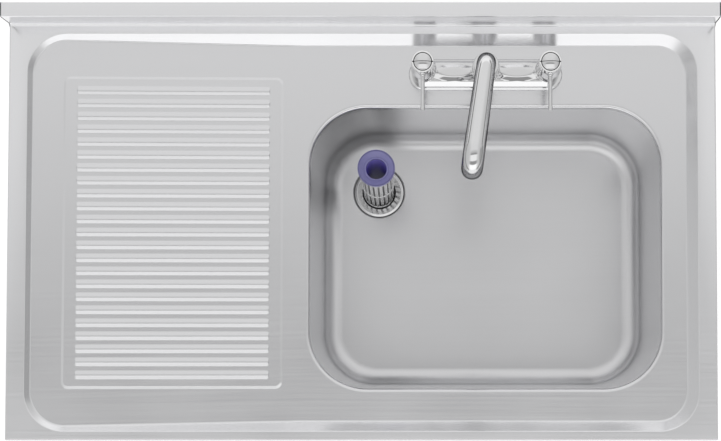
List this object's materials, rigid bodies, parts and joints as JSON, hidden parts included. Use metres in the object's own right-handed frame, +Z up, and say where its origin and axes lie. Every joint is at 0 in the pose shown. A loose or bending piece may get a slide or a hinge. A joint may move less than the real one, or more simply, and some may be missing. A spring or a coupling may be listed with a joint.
{
  "type": "kitchen sink with drainboard",
  "caption": "Stainless kitchen sink top with ribbed drainboard, deep bowl, low upstand, lift-out standing overflow and a lever-handled mixer with a swivel spout.",
  "frame": {"origin": "middle of the underside of the aprons' return flange, which rests on the cabinet", "axes": "+X to the right along the length, +Y to the back where the upstand is, +Z up"},
  "size_m": [1, 0.61, 0.3878],
  "materials": {
    "brushed_stainless": "brushed along its length, satin",
    "polished_stainless": "polished",
    "zinc_steel": "zinc plated, dull",
    "damping_felt": "matt, heavy",
    "black_rubber": "matt",
    "purple_plastic": "moulded, half matt",
    "purple_tube": "moulded, half matt",
    "white_plastic": "moulded",
    "fibre_washer": "pressed fibre",
    "brass": "turned",
    "chrome": "polished chrome plate"
  },
  "bodies": {
    "sink": {"worktop": "brushed_stainless", "bowl": "brushed_stainless", "drainer_stiffeners": "zinc_steel", "corner_gussets": "zinc_steel", "bowl_damping_pad": "damping_felt", "waste_body": "chrome", "waste_upper_seal": "black_rubber", "waste_lower_seal": "black_rubber", "waste_backnut": "brass", "mixer_gasket": "black_rubber", "mixer_base_plate": "chrome", "mixer_body": "chrome", "spout_bush": "white_plastic", "spout_nut": "chrome", "tail_washers": "fibre_washer", "tail_backnuts": "brass", "left_inlet_tail": "brass", "left_cartridge": "brass", "left_bonnet": "chrome", "right_inlet_tail": "brass", "right_cartridge": "brass", "right_bonnet": "chrome"},
    "standpipe": {"overflow_tube": "purple_tube", "strainer_sleeve": "polished_stainless", "overflow_cap": "purple_plastic", "standpipe_plug": "black_rubber"},
    "left_handle": {"left_spindle": "brass", "left_handle_hub": "chrome", "left_handle_screw": "zinc_steel", "left_handle_cap": "chrome", "left_lever_rod": "chrome", "left_lever_tip": "chrome"},
    "right_handle": {"right_spindle": "brass", "right_handle_hub": "chrome", "right_handle_screw": "zinc_steel", "right_handle_cap": "chrome", "right_lever_rod": "chrome", "right_lever_tip": "chrome"},
    "spout": {"spout_tube": "chrome", "aerator_housing": "chrome", "aerator_insert": "white_plastic"}
  },
  "joints": [
    {"name": "spout_swivel", "type": "hinge", "parent": "sink", "child": "spout", "pos_m": [0.1745, 0.218, 0.058], "axis": [0, 0, 1], "range_deg": [-82.4, 97.6]},
    {"name": "left_handle_turn", "type": "hinge", "parent": "sink", "child": "left_handle", "pos_m": [0.0866, 0.218, 0.0688], "axis": [0, 0, 1], "range_deg": [-90, 0]},
    {"name": "right_handle_turn", "type": "hinge", "parent": "sink", "child": "right_handle", "pos_m": [0.2624, 0.218, 0.0688], "axis": [0, 0, 1], "range_deg": [0, 90]},
    {"name": "standpipe_lift", "type": "slide", "parent": "sink", "child": "standpipe", "axis": [0.0493, 0.0443, 0.9978], "range_m": [0, 0.25]}
  ]
}
